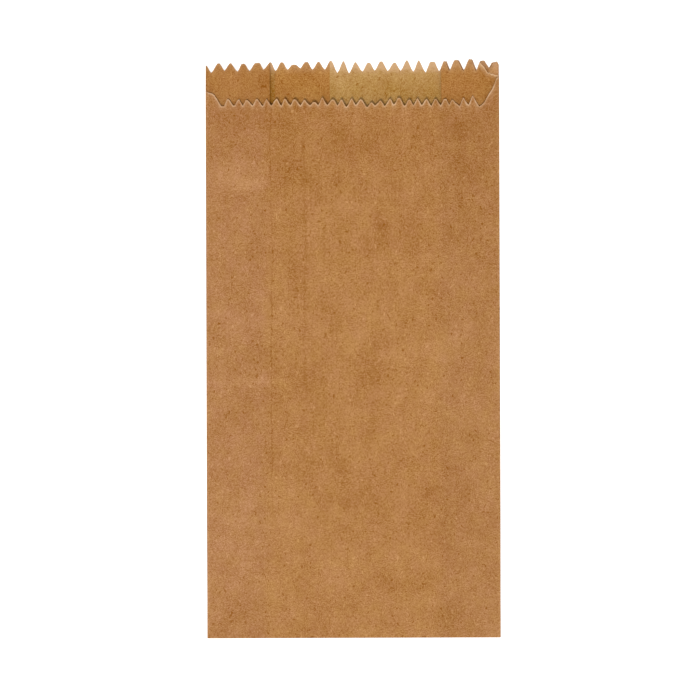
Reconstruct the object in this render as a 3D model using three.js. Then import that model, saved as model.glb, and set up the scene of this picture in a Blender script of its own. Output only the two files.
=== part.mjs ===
// A brown paper lunch bag with side gussets, lying flat on its back with the front panel up.
//
// The real bag is one piece of kraft paper. A serrated knife cuts it off the web, the web is folded
// round into a tube with a gusset at each side, its two edges are lapped and glued up the back, and
// the bottom is closed by folding the end of the tube over and gluing its long front tongue to the
// back. One knife stroke makes the mouth of one bag and the tail of the next, so both ends of the
// blank have the same outline. The model follows the same steps: cut the blank, fold it, glue it.
//
// Millimetres. X runs across the bag, Y from the bottom fold to the mouth, Z up through the plies.
import * as THREE from "three";

// The folded bag.
const BAG_WIDTH = 150;
const BAG_LENGTH = 294.5; // bottom fold to the tips of the mouth teeth
const PUFF_HEIGHT = 6.6; // floor to the crown of the front panel
const PUFF_RUN = 60; // distance from the bottom fold to the full height
const ARCH_POWER = 2.5; // how flat the crown is: 2 is a parabola

// The paper and its folds.
const PAPER = 0.12;
const GLUE = 0.06; // dried glue, and the air left between two pressed plies
const SIDE_FOLD_HEIGHT = 1.7; // between the two plies that a side fold joins
const GUSSET_FOLD_HEIGHT = 1.15; // between the two halves of a gusset at its inner fold
const GUSSET_MOUTH = 0.5; // between the two halves of a gusset at the side edge
const GUSSET_LIFT = 1.2; // the lower half of a gusset over the floor, at the inner fold
const GUSSET_DEPTH_LEFT = 32.8;
const GUSSET_DEPTH_RIGHT = 29.6;
const CREASE_RADIUS = 0.15; // inside the bottom fold

// The lap seam up the back.
const SEAM_EDGE_X = -11.6; // cut edge of the inner ply
const SEAM_LAP = 28;
const SEAM_GLUE_MARGIN = 4; // glue to either cut edge
const JOGGLE_GAP = 1.3; // cut edge of the outer ply to the step in the inner one
const JOGGLE_RUN = 2.5;

// The serrated knife: long teeth for the mouth, finer ones for the lip of the front panel.
const MOUTH_PITCH = 6.43;
const MOUTH_DEPTH = 4.2;
const MOUTH_TIP_X = 2.46; // where one of the tips lies across the bag
const LIP_PITCH = 4.8;
const LIP_DEPTH = 3.5;
const LIP_TIP_X = -1;
const LIP_DROP = 19.2; // tips of the mouth teeth to tips of the lip teeth
// How the lip climbs to the mouth, as [distance from the fold, rise over the lip's valleys].
// Positive distances are on the front panel, and negative ones round the fold on the gusset.
const LEFT_SWEEP = [[9.4, 0], [4, 6.5], [0, 8]];
const LEFT_SWEEP_END = -0.3;
const RIGHT_SWEEP = [[9.8, 0], [8.2, 1.7], [7, 3.7], [3.4, 10.2], [0, 14.9], [-6.4, 17.3], [-8.4, 20.1]];
const RIGHT_SWEEP_END = -10.4;

// The folded bottom.
const TAIL = 6; // shortest fold-over of the gussets and the back
const TAIL_CLEARANCE = 0.5; // from the longest of them to where the tongue steps up
const TONGUE_STEP_RUN = 8.5;
const TONGUE_CLEARANCE = 1; // from the tongue's end to where the back starts down to the floor
const BACK_RAMP_RUN = 8;
const TONGUE_GLUE_MARGIN = 1; // glue to the tongue's shortest teeth
const TONGUE_GLUE_INSET = 15; // glue to each side of the bag

// How finely the curved paper is faceted.
const FOLD_STEPS = 5;
const CREASE_STEPS = 6;
const GUSSET_STEPS = 4;
const RIB_STEPS = 14; // across the front and the back
const LONG_STEPS = 6; // up the bag, from its full height to the lip
const NEAR = 0.05; // two lines of the grid, or a line and a corner, closer than this are one
const PAPER_COLOUR = 0xb37e4c;

const EDGE = (BAG_WIDTH - PAPER) / 2; // middle of the paper at the side folds
const lerp = THREE.MathUtils.lerp;
const smoothstep = THREE.MathUtils.smoothstep;

// Plies of the pressed bag, counted up from the floor.
const PLY = { back: 0, lap: 1, gussetBack: 2, gussetFront: 3, front: 4 };
const pressed = (ply) => PAPER / 2 + ply * (PAPER + GLUE);

const creaseReach = CREASE_RADIUS + pressed(PLY.front) + PAPER / 2;
const creaseLength = (Math.PI * creaseReach) / 2;
const foldY = creaseReach - BAG_LENGTH / 2;
const mouthTip = BAG_LENGTH - creaseReach; // along the paper from the bottom fold
const lipTip = mouthTip - LIP_DROP;
const lipValley = lipTip - LIP_DEPTH;
const bladeRepeat = mouthTip + creaseLength + TAIL; // one bag's cut to the next along the web

// Lengths past the bottom fold, measured on the flap or on the back over it.
const tailEnd = TAIL + MOUTH_DEPTH;
const stepStart = tailEnd + TAIL_CLEARANCE;
const stepEnd = stepStart + TONGUE_STEP_RUN;
const tongueEnd = TAIL + mouthTip - lipValley;
const glueEnd = tongueEnd - LIP_DEPTH - TONGUE_GLUE_MARGIN;
const rampStart = tongueEnd + TONGUE_CLEARANCE;
const rampEnd = rampStart + BACK_RAMP_RUN;

// Height of the back's underside over the floor, at a distance from the bottom fold. It rides on the
// folded tail, then on the tongue alone, and then lies on the floor.
const overTail = 2 * CREASE_RADIUS + pressed(PLY.front) + PAPER / 2;
const overTongue = PAPER + 2 * GLUE;
function restHeight(distance) {
  const onTongue = lerp(overTail, overTongue, smoothstep(distance, stepStart, stepEnd));
  return lerp(onTongue, 0, smoothstep(distance, rampStart, rampEnd));
}

// How far the bag has sprung open: 0 at the pressed bottom fold, 1 where it has its full height.
const puff = (v) => smoothstep(v, 0, PUFF_RUN);

const gussetDepth = (x) => (x < 0 ? GUSSET_DEPTH_LEFT : GUSSET_DEPTH_RIGHT);
const intoGusset = (x) => THREE.MathUtils.clamp((EDGE - Math.abs(x)) / gussetDepth(x), 0, 1);

// Height of the middle of each ply over the back's underside, at x and at v along the paper.
const gussetBackEdge = PAPER / 2 + SIDE_FOLD_HEIGHT;
const gussetFrontEdge = gussetBackEdge + GUSSET_MOUTH;
const frontEdge = gussetFrontEdge + SIDE_FOLD_HEIGHT;
const lapEnd = SEAM_EDGE_X - SEAM_LAP; // cut edge of the outer ply
const joggleTop = lapEnd - JOGGLE_GAP;
const level = {
  back: () => pressed(PLY.back),
  lap: (x) => lerp(pressed(PLY.back), pressed(PLY.lap), smoothstep(x, joggleTop - JOGGLE_RUN, joggleTop)),
  gussetBack: (x, v) =>
    lerp(pressed(PLY.gussetBack), lerp(gussetBackEdge, GUSSET_LIFT, intoGusset(x)), puff(v)),
  gussetFront: (x, v) =>
    lerp(
      pressed(PLY.gussetFront),
      lerp(gussetFrontEdge, GUSSET_LIFT + GUSSET_FOLD_HEIGHT, intoGusset(x)),
      puff(v),
    ),
  front: (x, v) => {
    const arch = 1 - Math.abs(x / EDGE) ** ARCH_POWER;
    return lerp(pressed(PLY.front), lerp(frontEdge, PUFF_HEIGHT - PAPER / 2, arch), puff(v));
  },
};

// A fold is a half circle between two plies, at x = side * (EDGE - depth of the fold).
const sideLeft = { at: -EDGE, out: -1 };
const sideRight = { at: EDGE, out: 1 };
const innerLeft = { at: GUSSET_DEPTH_LEFT - EDGE, out: 1 };
const innerRight = { at: EDGE - GUSSET_DEPTH_RIGHT, out: -1 };
const foldRadius = (fold, v) => Math.abs(level[fold.to](fold.at, v) - level[fold.from](fold.at, v)) / 2;
const foldCentre = (fold, v) => fold.at - fold.out * foldRadius(fold, v);

// The paper in the order a finger would follow it round the tube, from the inner edge of the lap
// seam to its outer edge. Each panel runs from one fold or cut edge to the next.
const folds = {
  backLeft: { ...sideLeft, from: "lap", to: "gussetBack" },
  gussetLeft: { ...innerLeft, from: "gussetBack", to: "gussetFront" },
  frontLeft: { ...sideLeft, from: "gussetFront", to: "front" },
  frontRight: { ...sideRight, from: "front", to: "gussetFront" },
  gussetRight: { ...innerRight, from: "gussetFront", to: "gussetBack" },
  backRight: { ...sideRight, from: "gussetBack", to: "back" },
};
const panels = [
  { ply: "lap", start: SEAM_EDGE_X, end: folds.backLeft },
  { ply: "gussetBack", start: folds.backLeft, end: folds.gussetLeft },
  { ply: "gussetFront", start: folds.gussetLeft, end: folds.frontLeft },
  { ply: "front", start: folds.frontLeft, end: folds.frontRight },
  { ply: "gussetFront", start: folds.frontRight, end: folds.gussetRight },
  { ply: "gussetBack", start: folds.gussetRight, end: folds.backRight },
  { ply: "back", start: folds.backRight, end: lapEnd },
];
const endX = (end, v) => (typeof end === "number" ? end : foldCentre(end, v));

// Lays panels and folds end to end, as they are at the mouth: u is the length along the paper from
// the inner edge of the seam, and x0 and x1 are the ends of a panel across the bag.
function developBlank() {
  const spans = [];
  let u0 = 0;
  for (const panel of panels) {
    const [x0, x1] = [endX(panel.start, mouthTip), endX(panel.end, mouthTip)];
    const u1 = u0 + Math.abs(x1 - x0);
    spans.push({ panel, u0, u1, x0, x1 });
    u0 = u1;
    if (typeof panel.end === "number") break;
    u0 += Math.PI * foldRadius(panel.end, mouthTip);
    spans.push({ fold: panel.end, u0: u1, u1: u0 });
  }
  return spans;
}
const spans = developBlank();
const spanOf = (ply) => spans.find((span) => span.panel?.ply === ply);
const uAt = (span, x) => span.u0 + Math.abs(x - span.x0);
const xAt = (span, u) => lerp(span.x0, span.x1, (u - span.u0) / (span.u1 - span.u0));

// Where the paper at (u, v) of the blank lies across the tube and over the back's underside.
function section(u, v) {
  const { panel, fold, u0, u1 } = spans.find((span) => u <= span.u1) ?? spans.at(-1);
  const share = (u - u0) / (u1 - u0);
  if (panel) {
    const x = lerp(endX(panel.start, v), endX(panel.end, v), share);
    return { x, height: level[panel.ply](x, v) };
  }
  const [from, to] = [level[fold.from](fold.at, v), level[fold.to](fold.at, v)];
  const turn = Math.PI * share;
  return {
    x: foldCentre(fold, v) + fold.out * foldRadius(fold, v) * Math.sin(turn),
    height: (from + to) / 2 + ((from - to) / 2) * Math.cos(turn),
  };
}

// Bends the tube round the bottom fold. v runs up the body from the fold, and is negative past it.
function place(x, height, v) {
  if (v >= 0) return new THREE.Vector3(x, foldY + v, restHeight(v) + height);
  const turn = (Math.PI * Math.min(-v, creaseLength)) / creaseLength;
  if (turn < Math.PI) {
    const radius = CREASE_RADIUS + height;
    const centreZ = restHeight(0) - CREASE_RADIUS;
    return new THREE.Vector3(x, foldY - radius * Math.sin(turn), centreZ + radius * Math.cos(turn));
  }
  return new THREE.Vector3(x, foldY - v - creaseLength, restHeight(0) - 2 * CREASE_RADIUS - height);
}

const folded = (u, v) => {
  const { x, height } = section(u, v);
  return place(x, height, v);
};

// The outer and inner faces of the paper at (u, v), half a thickness either side of its middle.
function faces(u, v) {
  const d = 0.005;
  const along = folded(u + d, v).sub(folded(u - d, v));
  const up = folded(u, v + d).sub(folded(u, v - d));
  const outward = along.cross(up).setLength(PAPER / 2);
  const middle = folded(u, v);
  return [middle.clone().add(outward), middle.clone().sub(outward)];
}

// Height of a saw-tooth edge at x, and the x of its tips and valleys between two places.
const toothEdge = (x, tip, tipX, pitch, depth) => {
  const phase = (x - tipX) / pitch;
  return tip - depth * 2 * Math.abs(phase - Math.round(phase));
};
function toothPoints(x0, x1, tipX, pitch) {
  const [low, high] = [Math.min(x0, x1), Math.max(x0, x1)];
  const found = [];
  const half = pitch / 2;
  for (let n = Math.ceil((low - tipX) / half); tipX + n * half < high; n++) found.push(tipX + n * half);
  return x0 < x1 ? found : found.reverse();
}
const mouthEdge = (x) => toothEdge(x, mouthTip, MOUTH_TIP_X, MOUTH_PITCH, MOUTH_DEPTH);
const lipEdge = (x) => toothEdge(x, lipTip, LIP_TIP_X, LIP_PITCH, LIP_DEPTH);

// The knife's cut through all plies at the mouth, as [u, v] points along the blank.
function mouthCut() {
  const cut = [];
  for (const span of spans) {
    if (span.fold) {
      for (let i = 1; i < FOLD_STEPS; i++) {
        const u = lerp(span.u0, span.u1, i / FOLD_STEPS);
        cut.push([u, mouthEdge(section(u, mouthTip).x)]);
      }
    } else {
      const teeth = toothPoints(span.x0, span.x1, MOUTH_TIP_X, MOUTH_PITCH);
      cut.push(...[span.x0, ...teeth, span.x1].map((x) => [uAt(span, x), mouthEdge(x)]));
    }
  }
  return cut;
}

// The whole outline: the mouth cut, with the front panel's lower lip and its sweeps let into it.
function knifeOutline() {
  const middleOf = (fold) => {
    const span = spans.find((each) => each.fold === fold);
    return (span.u0 + span.u1) / 2;
  };
  const [left, right] = [middleOf(folds.frontLeft), middleOf(folds.frontRight)];
  const leftSweep = LEFT_SWEEP.map(([distance, rise]) => [left + distance, lipValley + rise]).reverse();
  const rightSweep = RIGHT_SWEEP.map(([distance, rise]) => [right - distance, lipValley + rise]);
  const front = spanOf("front");
  const [lipFrom, lipTo] = [xAt(front, leftSweep.at(-1)[0]), xAt(front, rightSweep[0][0])];
  const lipTeeth = toothPoints(lipFrom, lipTo, LIP_TIP_X, LIP_PITCH);
  const mouth = mouthCut();
  const mouthAt = (u) => [u, mouthEdge(section(u, mouthTip).x)];
  const [leftEnd, rightEnd] = [left + LEFT_SWEEP_END, right - RIGHT_SWEEP_END];
  return [
    ...mouth.filter(([u]) => u < leftEnd),
    mouthAt(leftEnd),
    ...leftSweep,
    ...lipTeeth.map((x) => [uAt(front, x), lipEdge(x)]),
    ...rightSweep,
    mouthAt(rightEnd),
    ...mouth.filter(([u]) => u > rightEnd),
  ];
}
const outline = knifeOutline();
function cutAt(u) {
  const next = outline.findIndex(([at]) => at >= u);
  if (next <= 0) return outline[next < 0 ? outline.length - 1 : 0][1];
  const [[u0, v0], [u1, v1]] = [outline[next - 1], outline[next]];
  return lerp(v0, v1, (u - u0) / (u1 - u0));
}

// Glue holds two faces of the paper together over a patch between two x and two v. It joins the
// outer face of one ply to the inner face of another, and mate gives the v that lies against v.
const seamGlue = [lapEnd + SEAM_GLUE_MARGIN, SEAM_EDGE_X - SEAM_GLUE_MARGIN];
const tongueGlue = EDGE - TONGUE_GLUE_INSET;
const joggleFoot = joggleTop - JOGGLE_RUN;
const mouthRow = mouthTip - MOUTH_DEPTH - 2;
const onFlap = (v) => -v - creaseLength;
const glue = [
  { outer: "lap", inner: "back", x: seamGlue, v: [stepStart, mouthRow], mate: (v) => v },
  { outer: "lap", inner: "front", x: [-tongueGlue, joggleFoot], v: [stepEnd, glueEnd], mate: onFlap },
  { outer: "back", inner: "front", x: [seamGlue[0], tongueGlue], v: [stepEnd, glueEnd], mate: onFlap },
];

// The grid's lines across the front and the back: even steps, and the edges of glue and joggle.
function ribs() {
  const corners = [-tongueGlue, joggleFoot, joggleTop, ...seamGlue, tongueGlue];
  const step = (2 * EDGE) / RIB_STEPS;
  const even = Array.from({ length: RIB_STEPS - 1 }, (_, n) => (n + 1) * step - EDGE);
  const kept = even.filter((x) => corners.every((corner) => Math.abs(corner - x) > step / 3));
  return [...corners, ...kept].sort((a, b) => a - b);
}

// Stations are the u of the grid's lines along the tube, at every rib and every step of a fold.
function blankStations() {
  const stations = [0];
  const stepTo = (u0, u1, steps) => {
    for (let i = 1; i <= steps; i++) stations.push(lerp(u0, u1, i / steps));
  };
  for (const { fold, panel, u0, u1, x0, x1 } of spans) {
    if (fold) {
      stepTo(u0, u1, FOLD_STEPS);
    } else if (panel.ply.startsWith("gusset")) {
      stepTo(u0, u1, GUSSET_STEPS);
    } else {
      const inside = ribs().map((x) => lerp(u0, u1, (x - x0) / (x1 - x0)));
      const clear = inside.filter((u) => u > u0 + 1 && u < u1 - 1);
      stations.push(...clear.sort((a, b) => a - b), u1);
    }
  }
  return stations;
}

// Rows are the v of the grid's lines across it, from the tongue round the bottom fold to the mouth.
function blankRows() {
  const rows = [glueEnd, stepEnd, TAIL - 1].map((distance) => -creaseLength - distance);
  for (let i = CREASE_STEPS; i > 0; i--) rows.push((-creaseLength * i) / CREASE_STEPS);
  rows.push(0, TAIL - 1);
  for (let i = 0; i < 3; i++) rows.push(lerp(stepStart, stepEnd, i / 3));
  rows.push(stepEnd, glueEnd, rampStart, (rampStart + rampEnd) / 2, rampEnd, (rampEnd + PUFF_RUN) / 2);
  for (let i = 0; i <= LONG_STEPS; i++) rows.push(lerp(PUFF_RUN, lipValley - 2, i / LONG_STEPS));
  rows.push(mouthRow);
  return rows;
}

// Cuts the blank flat: triangles over a grid of stations and rows, closed off by the knife's cut at
// both ends. Returns the corners as [u, v] and the triangles as corner numbers.
function cutBlank() {
  const stations = blankStations();
  const rows = blankRows();
  const corners = [];
  const numbers = new Map();
  const triangles = [];
  const corner = ([u, v]) => {
    const key = `${u.toFixed(3)} ${v.toFixed(3)}`;
    if (!numbers.has(key)) {
      numbers.set(key, corners.length);
      corners.push([u, v]);
    }
    return numbers.get(key);
  };
  const clear = 0.4; // rows closer than this to the cut are left out
  const rowsInside = (top) => rows.filter((v) => v < top - clear && v > top - bladeRepeat + clear);
  // Side corners are pulled in a hair for the triangulation alone, so that none is skipped as lying
  // on a straight line.
  const fill = (contour, u0, u1) => {
    const [low, high] = [Math.min(...contour.map((c) => c[1])), Math.max(...contour.map((c) => c[1]))];
    const pinched = contour.map(([u, v]) => {
      const bulge = (0.05 * (v - low) * (high - v)) / (high - low) ** 2;
      const inward = u === u0 ? bulge : u === u1 ? -bulge : 0;
      return new THREE.Vector2(u + inward, v);
    });
    for (const face of THREE.ShapeUtils.triangulateShape(pinched, [])) {
      triangles.push(face.map((n) => corner(contour[n])));
    }
  };
  for (let i = 0; i + 1 < stations.length; i++) {
    const [u0, u1] = [stations[i], stations[i + 1]];
    const between = outline.filter(([u]) => u > u0 + NEAR && u < u1 - NEAR);
    const cut = [[u0, cutAt(u0)], ...between, [u1, cutAt(u1)]];
    const lowest = Math.min(...cut.map(([, v]) => v));
    const highest = Math.max(...cut.map(([, v]) => v));
    const left = rowsInside(cutAt(u0));
    const right = rowsInside(cutAt(u1));
    const full = left.filter((v) => right.includes(v) && v < lowest - clear && v > highest - bladeRepeat + clear);
    for (let j = 0; j + 1 < full.length; j++) {
      const [v0, v1] = [full[j], full[j + 1]];
      const [a, b, c, d] = [corner([u0, v0]), corner([u1, v0]), corner([u1, v1]), corner([u0, v1])];
      triangles.push([a, b, c], [a, c, d]);
    }
    const [first, last] = [full[0], full.at(-1)];
    const above = (side) => side.filter((v) => v > last);
    const below = (side) => side.filter((v) => v < first);
    fill(
      [
        [u0, last],
        [u1, last],
        ...above(right).map((v) => [u1, v]),
        ...cut.toReversed(),
        ...above(left).toReversed().map((v) => [u0, v]),
      ],
      u0,
      u1,
    );
    fill(
      [
        [u1, first],
        [u0, first],
        ...below(left).toReversed().map((v) => [u0, v]),
        ...cut.map(([u, v]) => [u, v - bladeRepeat]),
        ...below(right).map((v) => [u1, v]),
      ],
      u0,
      u1,
    );
  }
  return { corners, triangles };
}

// The triangles of one ply between two x and two v.
function patch({ corners, triangles }, ply, xs, vs) {
  const span = spanOf(ply);
  const us = xs.map((x) => uAt(span, x));
  const within = (at, ends) => at > Math.min(...ends) - NEAR && at < Math.max(...ends) + NEAR;
  return triangles.filter((face) => face.every((n) => within(corners[n][0], us) && within(corners[n][1], vs)));
}

// The edges round a set of triangles, each in its own triangle's direction.
function rim(triangles) {
  const edges = new Map();
  for (const [a, b, c] of triangles) {
    for (const [from, to] of [[a, b], [b, c], [c, a]]) {
      if (!edges.delete(`${to} ${from}`)) edges.set(`${from} ${to}`, [from, to]);
    }
  }
  return [...edges.values()];
}

// Folds the blank and gives it its thickness: an outer and an inner face, joined round the cut edge.
// Where plies are glued their faces are left out, and the glue's four sides join them instead.
function foldBlank(blank) {
  const { corners, triangles } = blank;
  const outer = (n) => 2 * n;
  const inner = (n) => 2 * n + 1;
  const index = [];
  const hidden = { outer: new Set(), inner: new Set() };
  for (const film of glue) {
    const under = patch(blank, film.outer, film.x, film.v);
    patch(blank, film.inner, film.x, film.v.map(film.mate)).forEach((face) => hidden.inner.add(face));
    under.forEach((face) => hidden.outer.add(face));
    const mate = (n) => {
      const u = uAt(spanOf(film.inner), xAt(spanOf(film.outer), corners[n][0]));
      const v = film.mate(corners[n][1]);
      return corners.findIndex((at) => Math.abs(at[0] - u) < NEAR && Math.abs(at[1] - v) < NEAR);
    };
    for (const [from, to] of rim(under)) {
      const [near, far] = [inner(mate(from)), inner(mate(to))];
      index.push(outer(from), outer(to), far, outer(from), far, near);
    }
  }
  for (const face of triangles) {
    const [a, b, c] = face;
    if (!hidden.outer.has(face)) index.push(outer(a), outer(b), outer(c));
    if (!hidden.inner.has(face)) index.push(inner(a), inner(c), inner(b));
  }
  for (const [from, to] of rim(triangles)) {
    index.push(outer(to), outer(from), inner(from), outer(to), inner(from), inner(to));
  }
  const positions = corners.flatMap(([u, v]) => faces(u, v).flatMap((point) => point.toArray()));
  const geometry = new THREE.BufferGeometry();
  geometry.setAttribute("position", new THREE.Float32BufferAttribute(positions, 3));
  geometry.setIndex(index);
  return geometry;
}

const paper = foldBlank(cutBlank());
paper.computeVertexNormals();

const bag = new THREE.Mesh(
  paper,
  new THREE.MeshStandardMaterial({ color: PAPER_COLOUR, roughness: 0.9, metalness: 0 }),
);
bag.name = "paper_bag";

const lunchBag = new THREE.Group();
lunchBag.add(bag);

export default lunchBag;
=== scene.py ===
# %% [markdown]
# # A flat brown paper lunch bag
#
# The real bag is one sheet of kraft paper: cut by a serrated knife, folded into a tube with a gusset
# at each side, lapped and glued up the back, and closed at the bottom by folding its end over.
# It lies on its back, so the camera sees the front panel and, past its shorter lip, the inside of
# the back and of the gussets.
#
# A sheet this thin could be made by hand-modelling each panel, but then the panels would never quite
# meet. Here the flat blank is a grid, a function says where each point of the blank lies after
# folding, and the Solidify modifier gives the paper its thickness. Folds, plies and cut edges then
# come out right together, and the paper's grain can follow the sheet round every fold.

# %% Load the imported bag
import math

import bpy
import numpy as np
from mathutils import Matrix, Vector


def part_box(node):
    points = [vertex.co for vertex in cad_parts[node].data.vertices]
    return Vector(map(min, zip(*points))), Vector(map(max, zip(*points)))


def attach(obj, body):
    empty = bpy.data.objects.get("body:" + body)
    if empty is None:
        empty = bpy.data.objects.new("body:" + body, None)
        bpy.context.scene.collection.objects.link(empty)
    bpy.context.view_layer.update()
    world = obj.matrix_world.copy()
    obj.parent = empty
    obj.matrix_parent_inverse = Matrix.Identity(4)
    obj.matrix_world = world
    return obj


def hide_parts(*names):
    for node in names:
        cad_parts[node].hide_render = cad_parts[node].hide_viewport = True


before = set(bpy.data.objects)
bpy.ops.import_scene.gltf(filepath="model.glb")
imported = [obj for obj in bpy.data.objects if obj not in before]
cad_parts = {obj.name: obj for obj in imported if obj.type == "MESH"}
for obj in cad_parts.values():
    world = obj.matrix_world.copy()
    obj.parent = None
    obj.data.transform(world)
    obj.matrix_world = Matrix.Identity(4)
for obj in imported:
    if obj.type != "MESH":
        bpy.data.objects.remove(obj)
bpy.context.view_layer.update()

MM = 0.001
low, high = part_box("paper_bag")
BAG_WIDTH = high[0] - low[0]
BAG_LENGTH = high[1] - low[1]
PUFF_HEIGHT = high[2] - low[2]
print(f"bag {BAG_WIDTH / MM:.1f} x {BAG_LENGTH / MM:.1f} mm, {PUFF_HEIGHT / MM:.1f} mm high")

# %% [markdown]
# ## The camera
#
# The photograph looks straight down from far away. A long lens well above the bag gives the same
# flat view: the edges of the bag stay parallel, and its height hardly shows. One pixel of the
# photograph is about half a millimetre of bag, which gives the lens its distance. The bag lies a
# little off the middle of the picture and is turned a fraction of a degree, so the camera takes the
# same offset and turn the other way, and the bag stays square in its own frame.

# %% Camera
PHOTO_PIXELS = 700
PHOTO_BAG_WIDTH = 293.75  # pixels
PHOTO_BAG_CENTRE = (353.2, 350.05)  # pixels, across and down
PHOTO_TURN = math.radians(0.18)
LENS = 150  # millimetres
SENSOR = 36  # millimetres

pixel = BAG_WIDTH / PHOTO_BAG_WIDTH
view_width = PHOTO_PIXELS * pixel
camera_height = view_width * LENS / SENSOR
camera_data = bpy.data.cameras.new("overhead_camera")
camera_data.lens = LENS
camera_data.sensor_width = SENSOR
camera = bpy.data.objects.new("overhead_camera", camera_data)
camera.location = (
    (PHOTO_PIXELS / 2 - PHOTO_BAG_CENTRE[0]) * pixel,
    (PHOTO_BAG_CENTRE[1] - PHOTO_PIXELS / 2) * pixel,
    camera_height + PUFF_HEIGHT / 2,
)
camera.rotation_euler = (0, 0, -PHOTO_TURN)
bpy.context.scene.collection.objects.link(camera)
bpy.context.scene.camera = camera
print(f"camera {camera_height:.3f} m above the bag, one pixel is {pixel / MM:.3f} mm")

# %% [markdown]
# ## Sizes of the folded bag
#
# These are the sizes that the solid was folded from. The pressed bottom has every ply against the
# next one. Towards the mouth the paper springs open: the side folds are round, the gusset's halves
# part a little, and the front panel arches.

# %% Paper and spring
PAPER = 0.12 * MM
GLUE = 0.06 * MM  # also what parts the pressed plies that aren't glued
CREASE_RADIUS = 0.15 * MM  # inside the bottom fold
SIDE_FOLD_HEIGHT = 1.7 * MM  # between the two plies that a side fold joins
GUSSET_FOLD_HEIGHT = 1.15 * MM  # the same at a gusset's inner fold
GUSSET_MOUTH = 0.5 * MM  # how far a gusset's halves part at the side
GUSSET_LIFT = 1.2 * MM  # how high its lower half lies at the inner fold
GUSSET_DEPTH_LEFT = 32.8 * MM
GUSSET_DEPTH_RIGHT = 29.6 * MM
PUFF_RUN = 60 * MM  # the length over which the pressed bottom opens
ARCH_POWER = 2.5  # 2 would be round, and more is flatter with steeper sides
edge = (BAG_WIDTH - PAPER) / 2
print(f"the sheet's middle reaches {edge / MM:.2f} mm to each side")

# %% Seam and folded bottom
SEAM_EDGE_X = -11.6 * MM
SEAM_LAP = 28 * MM
JOGGLE_GAP = 1.3 * MM  # from the outer ply's cut edge to the inner ply's step
JOGGLE_RUN = 2.5 * MM
TAIL = 6 * MM  # how far the tail's notches lie past the bottom fold
TAIL_CLEARANCE = 0.5 * MM  # from the tail's teeth to the step down to the tongue
TONGUE_STEP_RUN = 8.5 * MM
TONGUE_CLEARANCE = 1 * MM  # from the tongue's teeth to the ramp down to the table
BACK_RAMP_RUN = 8 * MM
lap_end = SEAM_EDGE_X - SEAM_LAP
joggle_top = lap_end - JOGGLE_GAP
print(f"the seam lies from {lap_end / MM:.1f} to {SEAM_EDGE_X / MM:.1f} mm across the bag")

# %% The knife and the blank
MOUTH_PITCH = 6.43 * MM
MOUTH_DEPTH = 4.2 * MM
MOUTH_TIP_X = -75.15 * MM  # the first tip from the left
LIP_PITCH = 4.81 * MM
LIP_DEPTH = 3.5 * MM
LIP_TIP_X = -63.1 * MM
LIP_DROP = 19.2 * MM  # from the mouth's tips down to the lip's
PLY = {"back": 0, "lap": 1, "gusset_back": 2, "gusset_front": 3, "front": 4}
pressed = {ply: PAPER / 2 + n * (PAPER + GLUE) for ply, n in PLY.items()}
crease_reach = CREASE_RADIUS + pressed["front"] + PAPER / 2
crease_length = math.pi * crease_reach / 2
fold_y = low[1] + crease_reach
mouth_tip = BAG_LENGTH - crease_reach
lip_tip = mouth_tip - LIP_DROP
lip_valley = lip_tip - LIP_DEPTH
blade_repeat = mouth_tip + crease_length + TAIL
step_start = TAIL + MOUTH_DEPTH + TAIL_CLEARANCE
step_end = step_start + TONGUE_STEP_RUN
tongue_end = TAIL + mouth_tip - lip_valley
ramp_start = tongue_end + TONGUE_CLEARANCE
ramp_end = ramp_start + BACK_RAMP_RUN
print(f"blank {blade_repeat / MM:.1f} mm long, tongue {tongue_end / MM:.1f} mm under the back")

# %% [markdown]
# ## Where each ply lies
#
# A cross-section of the bag is a stack of up to five plies joined by folds. `level` gives the height
# of a ply over the underside of the back, and `rest_height` the height of that underside over the
# table, because near the bottom the back lies on its own folded tail. Paper bends softly, so every
# change of height is a smooth step.

# %% Heights along the bag
def smoothstep(at, start, end):
    """0 before the start, 1 after the end, and a soft ramp between them."""
    t = np.clip((at - start) / (end - start), 0, 1)
    return t * t * (3 - 2 * t)


def mix(a, b, t):
    return a + (b - a) * t


def puff(v):
    """0 at the pressed bottom and 1 where the bag has sprung open."""
    return smoothstep(v, 0, PUFF_RUN)


def rest_height(distance):
    """The height of the back's underside over the table, at a distance from the bottom fold."""
    over_tail = 2 * CREASE_RADIUS + pressed["front"] + PAPER / 2
    over_tongue = PAPER + 2 * GLUE
    on_tongue = mix(over_tail, over_tongue, smoothstep(distance, step_start, step_end))
    return mix(on_tongue, 0, smoothstep(distance, ramp_start, ramp_end))


for place_name, distance in (("at the fold", 0), ("on the tongue", step_end), ("past it", ramp_end)):
    print(f"the back lies {rest_height(distance) / MM:.2f} mm up {place_name}")

# %% [markdown]
# Real paper is never flat: it takes up damp and cockles. A few long waves of random length, way and
# phase, a tenth or two of a millimetre high, give the light something to find. They could be a bump
# in the material, but as a sum of sines they move the sheet itself, and its shadows with it.

# %% Cockles
waves = np.random.default_rng(7)
COCKLE_WAVES = 14
COCKLE_HEIGHT = 0.16 * MM
COCKLE_LENGTHS = (28, 90)  # millimetres
COCKLE_WAYS = (-0.9, 0.9)  # radians from straight across the bag
cockle_lengths = waves.uniform(*COCKLE_LENGTHS, COCKLE_WAVES) * MM
cockle_ways = waves.uniform(*COCKLE_WAYS, COCKLE_WAVES)
cockle_starts = waves.uniform(0, 2 * math.pi, COCKLE_WAVES)


def cockle(x, v):
    """How far the waves lift the paper."""
    total = 0
    for length, way, start in zip(cockle_lengths, cockle_ways, cockle_starts):
        along = x * math.cos(way) + v * math.sin(way)
        total = total + np.sin(2 * math.pi * along / length + start)
    return COCKLE_HEIGHT * total / math.sqrt(COCKLE_WAVES)


print(f"{COCKLE_WAVES} waves, {min(cockle_lengths) / MM:.0f} to {max(cockle_lengths) / MM:.0f} mm long")

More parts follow.
